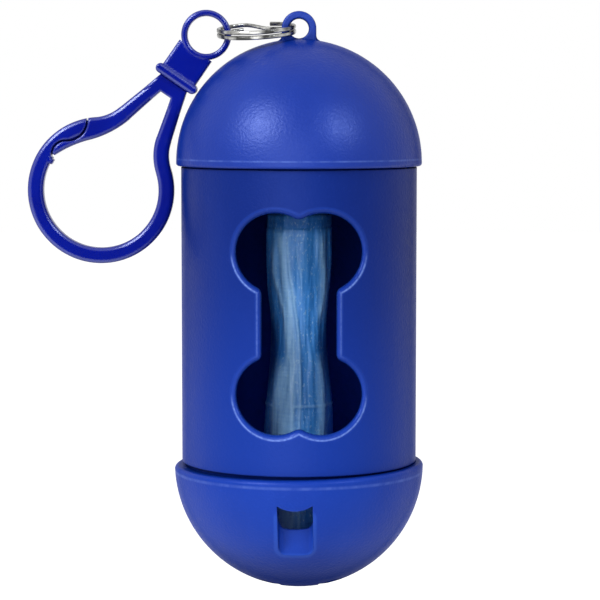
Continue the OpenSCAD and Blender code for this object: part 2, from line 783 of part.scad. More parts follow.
// Radius of the outer bag, part of the way up
function bag_radius(part) =
    let (ends = bag_foot_d / 2 + (bag_top_d - bag_foot_d) / 2 * part)
    ends - (ends - bag_waist_d / 2) * pow(sin(180 * part), 2);

// Gathered end of the next bag, from under the core down through the outlet
module bag_tail() {
    top = roll_z + core_lift - 2 * wound_fit;
    end = bottom_c - bottom_r + tail_short;
    color([0.3, 0.5, 0.7])
        rotate_extrude()
            polygon(concat(
                [[0, end], [0, top]],
                [for (i = [0:tail_steps])
                    [tail_radius(i / tail_steps), top + (end - top) * i / tail_steps]]));
}

// Radius of the gathered end, part of the way down
function tail_radius(part) = tail_d / 2 + (core_d - tail_d) / 2 * pow(1 - part, 3);

top_cap();
tube();
bottom_cap();
split_ring();
clasp_eye();
clasp_hook();
clasp_gate();
roll_core();
bag_roll();
outer_bag();
bag_tail();
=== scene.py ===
# Bag dispenser with a bone-shaped window: looks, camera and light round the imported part.
import math
import bpy
import bmesh
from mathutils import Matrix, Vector, noise


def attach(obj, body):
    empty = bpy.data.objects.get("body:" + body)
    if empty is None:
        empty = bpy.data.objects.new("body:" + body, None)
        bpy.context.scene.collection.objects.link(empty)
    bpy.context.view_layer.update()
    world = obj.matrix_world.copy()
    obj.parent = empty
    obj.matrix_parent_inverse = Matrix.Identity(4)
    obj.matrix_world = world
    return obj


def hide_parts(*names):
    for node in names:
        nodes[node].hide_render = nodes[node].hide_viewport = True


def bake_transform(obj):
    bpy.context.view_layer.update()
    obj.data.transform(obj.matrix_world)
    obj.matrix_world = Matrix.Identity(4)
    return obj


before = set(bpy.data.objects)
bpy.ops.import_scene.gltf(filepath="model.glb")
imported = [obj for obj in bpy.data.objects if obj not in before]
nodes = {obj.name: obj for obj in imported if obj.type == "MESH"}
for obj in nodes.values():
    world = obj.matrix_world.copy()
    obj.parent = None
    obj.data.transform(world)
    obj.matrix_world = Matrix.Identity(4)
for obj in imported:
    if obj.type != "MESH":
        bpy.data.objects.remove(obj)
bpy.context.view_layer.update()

# One millimetre in Blender's metres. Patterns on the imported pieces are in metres, and new pieces
# are drawn in millimetres and scaled when they are placed
MM = 0.001

# Camera, with its tilt in degrees: level with the top cap, looking slightly down
CAMERA_AT = (0.00016, -0.380, -0.0108)
CAMERA_DOWN = 4.9
CAMERA_LENS = 142.3
CAMERA_SENSOR = 36

# Studio: the point that the lamps aim at, how far off they stand, the level and radius of the
# floor that the part hangs over, the light from all round, and white as the shaders take it
AIM = Vector((0, 0, -45 * MM))
LAMP_AWAY = 0.9
FLOOR_Z = -0.26
FLOOR_R = 4
AMBIENT = 0.12
WHITE = (1, 1, 1, 1)

# Window of the tube: its middle level, the middle and radius of each lobe, and half the waist
WINDOW_MIDDLE = -45.7 * MM
LOBE_X = 3.65 * MM
LOBE_Z = 11.05 * MM
LOBE_R = 6.1 * MM
WAIST_X = 5.8 * MM
# Distance from the window's edge to the painted highlight line round the outside of its rim
RIM_HIGHLIGHT = 0.68 * MM

# Slot of the bottom cap: half its width, half its height, its middle, and its corners' radius
SLOT_X = 2.75 * MM
SLOT_Z = 3.7 * MM
SLOT_SIDE = -0.6 * MM
SLOT_MIDDLE = -78.1 * MM
SLOT_CORNER = 1.2 * MM
# Distance from the slot's outline to the middle of the painted highlight band round it
SLOT_BAND = 0.22 * MM

# Rise of the paper core's spiral seam in one turn
CORE_PITCH = 20 * MM

# Loose outer bag, in millimetres: its two ends, the foot of its upper band with the groove along
# it, and its welded seam, which shows as a part of a fold
FILM_TOP = -29.3
FILM_FOOT = -86.1
BAG_BAND = -31.5
GROOVE_HALF = 0.2
GROOVE_DEPTH = 0.1
BAG_SEAM = -59.9
SEAM_HALF = 0.18
SEAM_SHOWN = 0.45
# Its radius, how much that drops from the middle to the upper end, and how far a full fold stands up
FILM_R = 5.45
FILM_TAPER = 0.25
FOLD_RISE = 0.24
# Its waist: the level, how far the pull reaches up and down, and how deep it goes
PULL_LEVEL = -49.5
PULL_REACH = 8.5
PULL_DEPTH = 0.85
# Its upper edge turns in over this height, by so much for each millimetre
EDGE_HEIGHT = 0.35
EDGE_SLOPE = 1.2
# How far its foot is gathered in, and over what height
GATHER_IN = 3.2
GATHER_HEIGHT = 3
# Waves of its side: how fine they are round the axis and along it, and how high in millimetres
FILM_WAVES = [(3.52, 0.11, 0.22), (10.4, 0.325, 0.08), (3, 1.9, 0.05)]
# Painted shade of its upper band: how dark, how far below the band it starts, and over what height it
# comes in
BAND_DARK = 0.55
BAND_LEAD = 1.0
BAND_SOFT = 1.2
# Painted shade of its flanks: how dark, and over what width it comes in, outside a front painted as
# lit:
# its middle and half width, and how far that is pulled in, at which level and over what reach
FLANK_DARK = 0.92
FLANK_SOFT = 1.6
LIT_SIDE = 0.15
LIT_HALF = 4.9
LIT_PULL = 2.5
LIT_LEVEL = -51
LIT_REACH = 7
# Folds of its front, which stand up and carry painted highlights, as points (millimetres right of the
# roll's axis, level), each with its width in millimetres and its strength from 0 to 1
FOLDS = [
    (((-4.0, -34.9), (-3.9, -38.6), (-3.0, -42.3), (-2.1, -46.0), (-1.8, -49.6), (-1.7, -53.3),
      (-2.4, -55.8), (-3.4, -58.2), (-3.9, -61.9), (-4.1, -64.3)), 0.42, 0.8),
    (((-2.9, -32.5), (-2.6, -36.1), (-2.2, -39.8), (-1.6, -43.5), (-1.2, -47.2), (-1.1, -49.6),
      (-1.1, -54.5), (-1.3, -59.4), (-1.5, -64.3)), 0.75, 1.0),
    (((-1.8, -33.7), (-1.5, -38.6), (-0.9, -42.3), (-0.4, -46.0), (-0.1, -48.4), (0.1, -52.1),
      (0.2, -55.8), (0.2, -59.4), (0.0, -64.3)), 0.24, 0.7),
    (((-0.3, -36.1), (0.2, -38.6), (0.5, -42.3)), 0.22, 0.35),
    (((3.5, -33.2), (3.6, -36.1), (4.0, -39.3), (3.8, -42.3), (3.3, -45.7)), 0.6, 0.9),
    (((3.3, -52.8), (3.5, -57.0), (3.7, -60.7), (3.6, -64.3)), 0.65, 0.85),
    (((-2.2, -53.5), (-2.9, -60.7), (-2.6, -64.3)), 1.5, 1.0),
]
# A fold starts this far past its end points and is full after a soft height. One whose last point
# lies below the last level here runs on down to the bag's foot
FOLD_PAST = 1.5
FOLD_SOFT = 2.5
RUNS_ON = -64

# Wound bags, in millimetres: their ends, radius and waves, and the layers at each end, which
# step in from a radius of their own, and up and down
WOUND_TOP = -27.3
WOUND_FOOT = -85.2
WOUND_R = 4.22
WOUND_WAVES = [(4, 0.1, 0.05)]
LAYERS = 6
LAYERS_R = 4.2
LAYER_IN = 0.1
LAYER_STEP = 0.06

# Gathered tail, in millimetres: its ends, the radius of its twisted end, and what the flare at the
# top adds to that. Its flutes, their depth as a share of the radius, and their twist in radians
TAIL_TOP = -85.35
TAIL_FOOT = -89.0
TAIL_R = 0.62
TAIL_FLARE = 2.7
FLUTES = 9
FLUTE_DEPTH = 0.12
FLUTE_TWIST = 5

# Clasp, in millimetres and degrees: the middle of its eye and its tilt. Its flat drawing has its
# origin at the eye's middle
EYE = (-14.7515, -1.0220)
CLASP_TILT = 34.413
# Moulding that joins both arms under the collar: its flat outline, half its thickness there and at
# its ends, the level of those ends, and its rounded edges
ARM_ROOT = [(-2.5, -9.185), (2.5, -9.185), (2.888, -10.49), (3.583, -12.995), (1.528, -13.535),
            (0.963, -11.5), (-0.963, -11.5), (-1.528, -13.535), (-3.583, -12.995), (-2.888, -10.49)]
ROOT_HALF = 1.54
ROOT_END_HALF = 1.38
ROOT_ENDS = -12.9
ROOT_EDGE = 0.36


def srgb(r, g, b):
    """Linear colour from an sRGB one of 0 to 255."""
    parts = [c / 255 for c in (r, g, b)]
    return tuple(c / 12.92 if c <= 0.04045 else ((c + 0.055) / 1.055) ** 2.4 for c in parts)


def toned(colour, gain, lift=0):
    """A colour made stronger or weaker, with an even lift."""
    return tuple(c * gain + lift for c in colour)


def clamped(value):
    return min(1, max(0, value))


def bell(value, middle, width):
    """1 at the middle, falling off smoothly to both sides."""
    return math.exp(-((value - middle) / width) ** 2)


def set_camera():
    data = bpy.data.cameras.new("camera")
    data.lens = CAMERA_LENS
    data.sensor_width = CAMERA_SENSOR
    data.clip_start = 10 * MM
    camera = bpy.data.objects.new("camera", data)
    camera.location = CAMERA_AT
    camera.rotation_euler = (math.radians(90 - CAMERA_DOWN), 0, 0)
    bpy.context.scene.collection.objects.link(camera)
    bpy.context.scene.camera = camera


def softbox(name, azimuth, elevation, side, watts, colour=(1, 1, 1)):
    """A square lamp aimed at the case's middle; azimuth 0 is in front, positive to the right."""
    data = bpy.data.lights.new(name, "AREA")
    data.shape = "SQUARE"
    data.size = side
    data.energy = watts
    data.color = colour
    lamp = bpy.data.objects.new(name, data)
    a = math.radians(azimuth)
    e = math.radians(elevation)
    way = Vector((math.sin(a) * math.cos(e), -math.cos(a) * math.cos(e), math.sin(e)))
    lamp.location = AIM + way * LAMP_AWAY
    lamp.rotation_euler = way.to_track_quat("Z", "Y").to_euler()
    bpy.context.scene.collection.objects.link(lamp)


def put(tree, node, values):
    """Sets sockets of a shader node, each to a value or to a link from another socket."""
    for key, value in values.items():
        if isinstance(value, bpy.types.NodeSocket):
            tree.links.new(value, node.inputs[key])
        else:
            node.inputs[key].default_value = value


def add(tree, kind, values=None, **settings):
    """A new shader node with its settings and socket values."""
    made = tree.nodes.new("ShaderNode" + kind)
    for key, value in settings.items():
        setattr(made, key, value)
    put(tree, made, values or {})
    return made


def maths(tree, operation, *values):
    """Result of a Math node on its values or sockets."""
    return add(tree, "Math", dict(enumerate(values)), operation=operation).outputs[0]


def length(tree, vector):
    """Length of a vector."""
    return add(tree, "VectorMath", {0: vector}, operation="LENGTH").outputs["Value"]


def axes(tree, place):
    """The three coordinates of a place, each on its own."""
    parts = add(tree, "SeparateXYZ", {"Vector": place}).outputs
    return parts["X"], parts["Y"], parts["Z"]


def apart(tree, value, other):
    """How far a value is from another, either way."""
    return maths(tree, "ABSOLUTE", maths(tree, "SUBTRACT", value, other))


def ranged(tree, value, low, high, to_low, to_high, smooth=False):
    """A value moved from one range to another and held inside it."""
    kind = "SMOOTHSTEP" if smooth else "LINEAR"
    span = {"Value": value, "From Min": low, "From Max": high, "To Min": to_low, "To Max": to_high}
    return add(tree, "MapRange", span, interpolation_type=kind).outputs[0]


def fading(tree, value, start, end, full=1):
    """Full up to the start, then smoothly down to 0 at the end."""
    return ranged(tree, value, start, end, full, 0, True)


def cloud(tree, place, scale, detail=2.0, stretch=(1, 1, 1)):
    """Noise on Object coordinates, with features about 1 / scale metres wide."""
    spot = add(tree, "Mapping", {"Vector": place, "Scale": stretch}).outputs[0]
    return add(tree, "TexNoise", {"Vector": spot, "Scale": scale, "Detail": detail}).outputs["Fac"]


def blended(tree, share, first, second):
    """Colour between two others, each a colour or a socket."""
    mix = add(tree, "Mix", {"Factor": share}, data_type="RGBA")
    for key, value in (("A", first), ("B", second)):
        socket = [s for s in mix.inputs if s.name == key and s.type == "RGBA"][0]
        if isinstance(value, bpy.types.NodeSocket):
            tree.links.new(value, socket)
        else:
            socket.default_value = (*value, 1)
    return [s for s in mix.outputs if s.type == "RGBA"][0]


def bumped(tree, height, depth, normal=None, strength=1.0):
    """Normal that shows a height of so many metres, over another normal where one is given."""
    values = {"Height": height, "Strength": strength, "Distance": depth}
    if normal:
        values["Normal"] = normal
    return add(tree, "Bump", values).outputs[0]


def gloss_falloff(tree, low, high, facing, turned, normal=None):
    """Specular level that goes from one value, seen square on, to another on what turns away."""
    values = {"Blend": 0.5}
    if normal:
        values["Normal"] = normal
    turn = add(tree, "LayerWeight", values).outputs["Facing"]
    return ranged(tree, turn, low, high, facing, turned, True)


def bevelled_edges(tree, radius):
    """Softened normal, and how far it leans from the true one: 0 on a face, 1 on a sharp edge."""
    soft = add(tree, "Bevel", {"Radius": radius}, samples=6).outputs[0]
    true = add(tree, "NewGeometry").outputs["Normal"]
    dot = add(tree, "VectorMath", {0: soft, 1: true}, operation="DOT_PRODUCT").outputs["Value"]
    return soft, ranged(tree, dot, 1.0, 0.8, 0.0, 1.0)


def seen_ray(tree):
    """1 for the rays that look at the background: the camera's, a reflection's and glass's."""
    path = add(tree, "LightPath").outputs
    first = maths(tree, "MAXIMUM", path["Is Camera Ray"], path["Is Glossy Ray"])
    return maths(tree, "MAXIMUM", first, path["Is Transmission Ray"])


def set_world():
    """Even light from all round, in front of a white background."""
    world = bpy.data.worlds.new("studio")
    world.use_nodes = True
    tree = world.node_tree
    lit = tree.nodes["Background"]
    put(tree, lit, {"Color": WHITE, "Strength": AMBIENT})
    white = add(tree, "Background", {"Color": WHITE, "Strength": 1})
    mix = add(tree, "MixShader", {0: seen_ray(tree), 1: lit.outputs[0], 2: white.outputs[0]})
    put(tree, tree.nodes["World Output"], {"Surface": mix.outputs[0]})
    bpy.context.scene.world = world


def floor_card():
    """Pale card that shows white further off, and keeps the part's shadow near its middle."""
    material = bpy.data.materials.new("floor_card")
    material.use_nodes = True
    tree = material.node_tree
    tree.nodes.clear()
    place = add(tree, "TexCoord").outputs["Object"]
    fade = ranged(tree, length(tree, place), 0.16, 0.6, 0.5, 1.0)
    glow = maths(tree, "MULTIPLY", fade, seen_ray(tree))
    lit = add(tree, "BsdfDiffuse", {"Color": (0.86, 0.86, 0.86, 1)})
    white = add(tree, "Emission", {"Color": WHITE, "Strength": glow})
    both = add(tree, "AddShader", {0: lit.outputs[0], 1: white.outputs[0]})
    add(tree, "OutputMaterial", {"Surface": both.outputs[0]})
    return material


def make_floor():
    mesh = bpy.data.meshes.new("floor")
    form = bmesh.new()
    bmesh.ops.create_circle(form, cap_ends=True, segments=96, radius=FLOOR_R)
    bmesh.ops.translate(form, verts=form.verts, vec=(0, 0, FLOOR_Z))
    form.to_mesh(mesh)
    form.free()
    floor = bpy.data.objects.new("floor", mesh)
    bpy.context.scene.collection.objects.link(floor)
    mesh.materials.append(floor_card())


def start_material(name):
    """New material with its tree, shader and Object coordinates."""
    material = bpy.data.materials.new(name)
    material.use_nodes = True
    tree = material.node_tree
    shader = tree.nodes["Principled BSDF"]
    place = add(tree, "TexCoord").outputs["Object"]
    return material, tree, shader, place


def window_distance(tree, place):
    """Distance out from the edge of the bone-shaped window, and height over its middle."""
    x, y, z = axes(tree, place)
    side = maths(tree, "ABSOLUTE", x)
    level = maths(tree, "SUBTRACT", z, WINDOW_MIDDLE)
    right = maths(tree, "SUBTRACT", side, LOBE_X)
    above = maths(tree, "SUBTRACT", maths(tree, "ABSOLUTE", level), LOBE_Z)
    reach = length(tree, add(tree, "CombineXYZ", {"X": right, "Y": above}).outputs[0])
    lobe = maths(tree, "SUBTRACT", reach, LOBE_R)
    waist = maths(tree, "MAXIMUM", maths(tree, "SUBTRACT", side, WAIST_X), above)
    near = maths(tree, "MINIMUM", lobe, waist)
    # The tube's back counts as far off, so it gets no mark of the window
    back = ranged(tree, y, -4 * MM, 0.0, 0, 50 * MM)
    return maths(tree, "ADD", near, back), level


def window_rim(tree, place):
    """Painted light on the window's rounded rim, and a painted highlight line round its outside below
    each lobe.
    """
    away, level = window_distance(tree, place)
    rim = fading(tree, away, 0.8 * MM, 1.1 * MM)
    lobe_level = maths(tree, "MULTIPLY", maths(tree, "SIGN", level), LOBE_Z)
    over_lobe = maths(tree, "SUBTRACT", level, lobe_level)
    low = fading(tree, over_lobe, -2.4 * MM, 0.4 * MM)
    # Along the straight waist, the painted highlight line is fainter and even
    straight = fading(tree, maths(tree, "ABSOLUTE", level), 4.2 * MM, 5.6 * MM)
    calm = ranged(tree, straight, 0, 1, 1, 0.35)
    faint = maths(tree, "MULTIPLY", straight, 0.35)
    share = maths(tree, "MAXIMUM", maths(tree, "MULTIPLY", low, calm), faint)
    thin = fading(tree, apart(tree, away, RIM_HIGHLIGHT), 0.05 * MM, 0.21 * MM)
    broken = ranged(tree, cloud(tree, place, 1700), 0.3, 0.6, 0.45, 1)
    line = maths(tree, "MULTIPLY", maths(tree, "MULTIPLY", thin, share), broken)
    return rim, line


def level_highlight(tree, place, level, half, soft):
    """Broken painted highlight line round the case at a level, so wide either side and fading over a
    soft width.
    """
    height = axes(tree, place)[2]
    line = fading(tree, apart(tree, height, level), half, half + soft)
    broken = ranged(tree, cloud(tree, place, 700, detail=3.0, stretch=(1, 1, 0.5)), 0.35, 0.65, 0.3, 1)
    return maths(tree, "MULTIPLY", line, broken)


def beyond(tree, value, edge):
    """How far a value goes past an edge, and 0 inside it."""
    return ranged(tree, value, edge, edge + 10 * MM, 0, 10 * MM)


def slot_highlight(tree, place):
    """Painted highlight on the slot's softened lip: a soft band round its outline, open at the top, on
    the front.
    """
    x, y, z = axes(tree, place)
    level = maths(tree, "SUBTRACT", z, SLOT_MIDDLE)
    past_x = beyond(tree, apart(tree, x, SLOT_SIDE), SLOT_X - SLOT_CORNER)
    past_z = beyond(tree, maths(tree, "ABSOLUTE", level), SLOT_Z - SLOT_CORNER)
    reach = length(tree, add(tree, "CombineXYZ", {"X": past_x, "Y": past_z}).outputs[0])
    band = fading(tree, apart(tree, reach, SLOT_CORNER + SLOT_BAND), 0.1 * MM, 0.55 * MM, 0.4)
    low = fading(tree, level, 2.8 * MM, 4.2 * MM)
    front = ranged(tree, y, -12 * MM, -11 * MM, 1, 0)
    return maths(tree, "MULTIPLY", maths(tree, "MULTIPLY", band, low), front)


def case_tones(tree, place, edge, base, shade, rise):
    """Colour of the case: flow clouds, painted light that comes with the level, flecks, and a painted
    highlight on its edges.
    """
    flow = cloud(tree, place, 90, detail=3.0, stretch=(1, 1, 0.45))
    colour = blended(tree, ranged(tree, flow, 0.35, 0.65, 0, 1), base, shade)
    # Painted light: the colour changes with the level, on the tube lighter towards its foot
    if rise:
        start, end, other = rise
        height = axes(tree, place)[2]
        colour = blended(tree, ranged(tree, height, start, end, 0, 1, True), colour, other)
    flecks = ranged(tree, cloud(tree, place, 2600), 0.58, 0.8, 0, 0.22)
    colour = blended(tree, flecks, colour, toned(base, 1.5, 0.014))
    # Edges painted lighter: a painted highlight
    return blended(tree, ranged(tree, edge, 0.25, 1, 0, 0.35), colour, toned(base, 1.25, 0.02))


def case_plastic(name, base, shade, gloss, corner_shade, rise=None, window=False, line=None,
                 slot=False, bottom_shade=None):
    """Moulded case plastic: satin, with a fine grain, faint flow clouds and a painted highlight on its
    edges.

    In closed corners the colour falls to a share of the base colour, as painted shade. A rise holds
    two levels and the colour reached at the second, as painted light that comes with the level. A line
    holds a level, half width, soft width and strength of a painted highlight line. A bottom shade
    holds a level with painted shade and no gloss, and the one where full colour and gloss are back.
    """
    material, tree, shader, place = start_material(name)
    normal, edge = bevelled_edges(tree, 0.28 * MM)
    colour = case_tones(tree, place, edge, base, shade, rise)
    rough = ranged(tree, cloud(tree, place, 900, detail=3.0), 0.3, 0.7, 0.34, 0.40)
    if window:
        # The window's rim is painted lighter, and a painted highlight line runs below each lobe
        rim, rim_highlight = window_rim(tree, place)
        colour = blended(tree, maths(tree, "MULTIPLY", rim, 0.25), colour, srgb(40, 78, 190))
        colour = blended(tree, maths(tree, "MULTIPLY", rim_highlight, 0.62), colour, srgb(128, 158, 236))
        rough = maths(tree, "ADD", rough, maths(tree, "MULTIPLY", rim, -0.12))
    if line:
        level, half, soft, strength = line
        # A painted highlight line round the case at a level, for a rounded edge
        mark = maths(tree, "MULTIPLY", level_highlight(tree, place, level, half, soft), strength)
        colour = blended(tree, mark, colour, srgb(112, 142, 226))
    if slot:
        # A painted highlight round the slot's rim
        colour = blended(tree, slot_highlight(tree, place), colour, srgb(52, 96, 206))
    # Painted shade: closed corners and gaps darken towards a share of the base colour
    lit = add(tree, "AmbientOcclusion", {"Distance": 3.5 * MM}, samples=8).outputs["AO"]
    lit = ranged(tree, lit, 0.15, 0.95, 0, 1)
    colour = blended(tree, lit, toned(base, corner_shade), colour)
    shine = gloss_falloff(tree, 0.24, 0.74, facing=gloss, turned=0.02)
    if bottom_shade:
        # Painted shade: the underside darkens towards the bottom and loses its gloss there
        height = axes(tree, place)[2]
        unshaded = ranged(tree, height, bottom_shade[0], bottom_shade[1], 0, 1, True)
        colour = blended(tree, unshaded, toned(base, 0.42), colour)
        shine = maths(tree, "MULTIPLY", shine, unshaded)
    grain = bumped(tree, cloud(tree, place, 2400, detail=3.0), 0.05 * MM, normal)
    put(tree, shader, {
        "Base Color": colour,
        "Roughness": rough,
        "Specular IOR Level": maths(tree, "MULTIPLY", shine, lit),
        "Specular Tint": (0.36, 0.48, 1, 1),
        "Normal": bumped(tree, cloud(tree, place, 160, detail=1.0), 0.02 * MM, grain)})
    return material


def clasp_plastic(name):
    """Glossy sprung plastic of the clasp, with a parting line round its middle and a painted highlight
    on its edges.
    """
    material, tree, shader, place = start_material(name)
    normal, edge = bevelled_edges(tree, 0.6 * MM)
    flow = ranged(tree, cloud(tree, place, 140), 0.35, 0.65, 0, 1)
    colour = blended(tree, flow, srgb(0, 14, 128), srgb(1, 20, 140))
    # Edges painted lighter: a painted highlight
    pale = ranged(tree, edge, 0.3, 1, 0, 0.35)
    # Rounded edges shine, where flat faces and flanks hardly do
    rounded = gloss_falloff(tree, 0.03, 0.11, facing=0.03, turned=1.0, normal=normal)
    flank = gloss_falloff(tree, 0.2, 0.6, facing=1, turned=0.15, normal=normal)
    depth = maths(tree, "ABSOLUTE", axes(tree, place)[1])
    parting = bumped(tree, fading(tree, depth, 0.03 * MM, 0.09 * MM), 0.03 * MM, normal, strength=0.6)
    put(tree, shader, {
        "Base Color": blended(tree, pale, colour, srgb(30, 56, 178)),
        "Roughness": ranged(tree, cloud(tree, place, 700, detail=3.0), 0.3, 0.7, 0.2, 0.26),
        "Specular IOR Level": maths(tree, "MULTIPLY", rounded, flank),
        "Specular Tint": (0.6, 0.68, 1, 1),
        "IOR": 1.65,
        "Normal": bumped(tree, cloud(tree, place, 420), 0.006 * MM, parting)})
    return material


def ring_steel(name):
    """Plated spring wire: bright, with faint drawing marks, painted reflections as bands, and painted
    shade between its turns.
    """
    material, tree, shader, place = start_material(name)
    # Painted reflections: random dark and bright bands along the wire
    tone = ranged(tree, cloud(tree, place, 420, detail=3.0), 0.38, 0.62, 0, 1)
    metal = blended(tree, tone, (0.06, 0.06, 0.058), (0.46, 0.46, 0.44))
    # Painted shade between the turns, where the wire closes on itself
    lit = add(tree, "AmbientOcclusion", {"Distance": 0.7 * MM}, samples=6).outputs["AO"]
    lit = ranged(tree, lit, 0.25, 0.9, 0.0, 1.0)
    marks = cloud(tree, place, 2500, stretch=(0.25, 0.25, 3))
    put(tree, shader, {
        "Base Color": blended(tree, lit, (0.012, 0.012, 0.014), metal),
        "Metallic": 1.0,
        "Roughness": ranged(tree, marks, 0.3, 0.7, 0.14, 0.32),
        "Normal": bumped(tree, marks, 0.015 * MM, strength=0.7)})
    return material


def bag_film_finish(name):
    """Thin plastic film over more of itself, with painted highlights on its folds and painted shade.
    """
    material, tree, shader, place = start_material(name)
    fold = add(tree, "Attribute", attribute_name="fold").outputs["Fac"]
    deep = add(tree, "Attribute", attribute_name="deep").outputs["Fac"]
    streak = cloud(tree, place, 2400, detail=3.0, stretch=(1, 1, 0.06))
    ribs = cloud(tree, place, 1500, detail=3.0, stretch=(0.25, 0.25, 1.6))
    body = blended(tree, ranged(tree, streak, 0.3, 0.7, 0, 1), srgb(50, 134, 222), srgb(74, 156, 238))
    # Painted highlights: lighter along the folds, and in small flecks
    frayed = maths(tree, "MULTIPLY", fold, ranged(tree, streak, 0.3, 0.7, 0.7, 1.15))
    ribbed = maths(tree, "MULTIPLY", frayed, ranged(tree, ribs, 0.35, 0.65, 0.85, 1.1))
    lit = blended(tree, ribbed, body, srgb(150, 204, 255))
    flecks = ranged(tree, cloud(tree, place, 3400, stretch=(1, 1, 0.5)), 0.58, 0.72, 0, 0.55)
    lit = blended(tree, flecks, lit, srgb(176, 222, 255))
    creases = bumped(tree, ribs, 0.07 * MM)
    # Painted shade: the colour goes dark blue and the gloss fades where the shade attribute is high
    put(tree, shader, {
        "Base Color": blended(tree, deep, lit, srgb(6, 38, 112)),
        "Roughness": ranged(tree, ribs, 0.3, 0.7, 0.28, 0.46),
        "Specular IOR Level": ranged(tree, deep, 0, 0.7, 0.5, 0.03),
        "Normal": bumped(tree, streak, 0.06 * MM, creases)})
    return material


def core_card(name):
    """Wound paper of the core: brown fibres and one spiral seam."""
    material, tree, shader, place = start_material(name)
    fibre = cloud(tree, place, 1800, detail=4.0, stretch=(1, 1, 0.3))
    x, y, z = axes(tree, place)
    rise = maths(tree, "MULTIPLY", z, 2 * math.pi / CORE_PITCH)
    wind = maths(tree, "ADD", maths(tree, "ARCTAN2", x, y), rise)
    seam = ranged(tree, maths(tree, "COSINE", wind), 0.97, 1.0, 0, 0.6, True)
    paper = blended(tree, ranged(tree, fibre, 0.3, 0.7, 0, 1), srgb(150, 120, 84), srgb(186, 154, 114))
    put(tree, shader, {
        "Base Color": blended(tree, seam, paper, srgb(104, 80, 54)),
        "Roughness": 0.85,
        "Normal": bumped(tree, fibre, 0.05 * MM, strength=0.8)})
    return material


def finish(name, material):
    """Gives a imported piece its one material."""
    nodes[name].data.materials.clear()
    nodes[name].data.materials.append(material)


def fold_middle(points, z):
    """Where a fold runs at a level: straight from point to point."""
    for (x0, z0), (x1, z1) in zip(points, points[1:]):
        if z > z0:
            return x0
        if z >= z1:
            return x0 + (x1 - x0) * (z0 - z) / (z0 - z1)
    return points[-1][0]


def fold_strength(x, z):
    """How much the folds show at a point of the roll's front, from 0 to 1."""
    total = 0
    for points, width, strength in FOLDS:
        top = points[0][1]
        foot = points[-1][1]
        fade = clamped((top + FOLD_PAST - z) / FOLD_SOFT)
        if foot >= RUNS_ON:
            fade *= clamped((z - foot + FOLD_PAST) / FOLD_SOFT)
        if fade > 0:
            total += strength * fade * bell(x, fold_middle(points, z), width)
    return min(1, total)


def film_radius(z):
    """Radius of the loose bag: slack at both ends, pulled in at its waist."""
    part = (z - FILM_FOOT) / (FILM_TOP - FILM_FOOT)
    slack = FILM_R + FILM_TAPER * math.cos(math.pi * part)
    return slack - PULL_DEPTH * bell(z, PULL_LEVEL, PULL_REACH)


def film_shade(side, z):
    """How much painted shade the film has, from 0 to 1: on its upper band and on its flanks."""
    band = clamped((z - BAG_BAND + BAND_LEAD) / BAND_SOFT)
    lit_half = LIT_HALF - LIT_PULL * bell(z, LIT_LEVEL, LIT_REACH)
    flank = clamped((abs(side - LIT_SIDE) - lit_half) / FLANK_SOFT)
    return min(1, BAND_DARK * band + FLANK_DARK * flank)


def open_tube(low, high, segments, rings):
    """Bmesh tube along Z, from one level to another in millimetres, of radius 1."""
    form = bmesh.new()
    bmesh.ops.create_cone(form, cap_ends=False, segments=segments, radius1=1, radius2=1,
                          depth=high - low)
    upright = [e for e in form.edges if abs(e.verts[0].co.z - e.verts[1].co.z) > 1]
    bmesh.ops.subdivide_edges(form, edges=upright, cuts=rings, use_grid_fill=True)
    bmesh.ops.translate(form, verts=form.verts, vec=(0, 0, (low + high) / 2))
    return form


def turn_of(vert):
    """Angle of a vertex round the roll's axis, from the front."""
    return math.atan2(vert.co.x, -vert.co.y)


def set_round(vert, turn, r):
    """Moves a vertex to a radius from the roll's axis."""
    vert.co.x = math.sin(turn) * r
    vert.co.y = -math.cos(turn) * r


def waves(turn, z, rows):
    """Height of a side's waves at one point, each row with its fineness and height."""
    total = 0
    for around, along, high in rows:
        spot = Vector((math.cos(turn) * around, math.sin(turn) * around, z * along))
        total += high * noise.noise(spot)
    return total


def place_piece(name, form, body, slot, material, replaced=(), **attributes):
    """Turns a bmesh in millimetres into a piece in metres, on its body where one is given."""
    bmesh.ops.scale(form, verts=form.verts, vec=(MM, MM, MM))
    bmesh.ops.recalc_face_normals(form, faces=form.faces)
    for face in form.faces:
        face.smooth = True
    mesh = bpy.data.meshes.new(name)
    form.to_mesh(mesh)
    form.free()
    for label, values in attributes.items():
        mesh.attributes.new(label, "FLOAT", "POINT").data.foreach_set("value", values)
    piece = bpy.data.objects.new(name, mesh)
    bpy.context.scene.collection.objects.link(piece)
    mesh.materials.append(material)
    if body:
        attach(piece, body)
    if replaced:
        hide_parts(*replaced)
    return piece


def make_loose_bag(material):
    """Outer bag: a thin envelope with long folds, gathered in at its foot."""
    form = open_tube(FILM_FOOT, FILM_TOP, segments=240, rings=250)
    folds = []
    deeps = []
    for vert in form.verts:
        turn = turn_of(vert)
        z = vert.co.z
        base = film_radius(z)
        side = math.sin(turn) * base
        # The back has the folds of the front, as if the front were turned to it
        fold = fold_strength(side if math.cos(turn) >= 0 else -side, z)
        if abs(z - BAG_SEAM) < SEAM_HALF:
            fold = min(1, fold + SEAM_SHOWN)
        r = base + FOLD_RISE * fold + waves(turn, z, FILM_WAVES)
        if abs(z - BAG_BAND) < GROOVE_HALF:
            r -= GROOVE_DEPTH
        if z > FILM_TOP - EDGE_HEIGHT:
            r -= (z - FILM_TOP + EDGE_HEIGHT) * EDGE_SLOPE
        if z < FILM_FOOT + GATHER_HEIGHT:
            r -= GATHER_IN * (1 - (z - FILM_FOOT) / GATHER_HEIGHT) ** 2
        set_round(vert, turn, r)
        folds.append(fold)
        # Painted shade on its upper band and its flanks
        deeps.append(film_shade(side, z))
    return place_piece("loose_bag", form, "roll", "bag_film", material, ["outer_bag"],
                       fold=folds, deep=deeps)


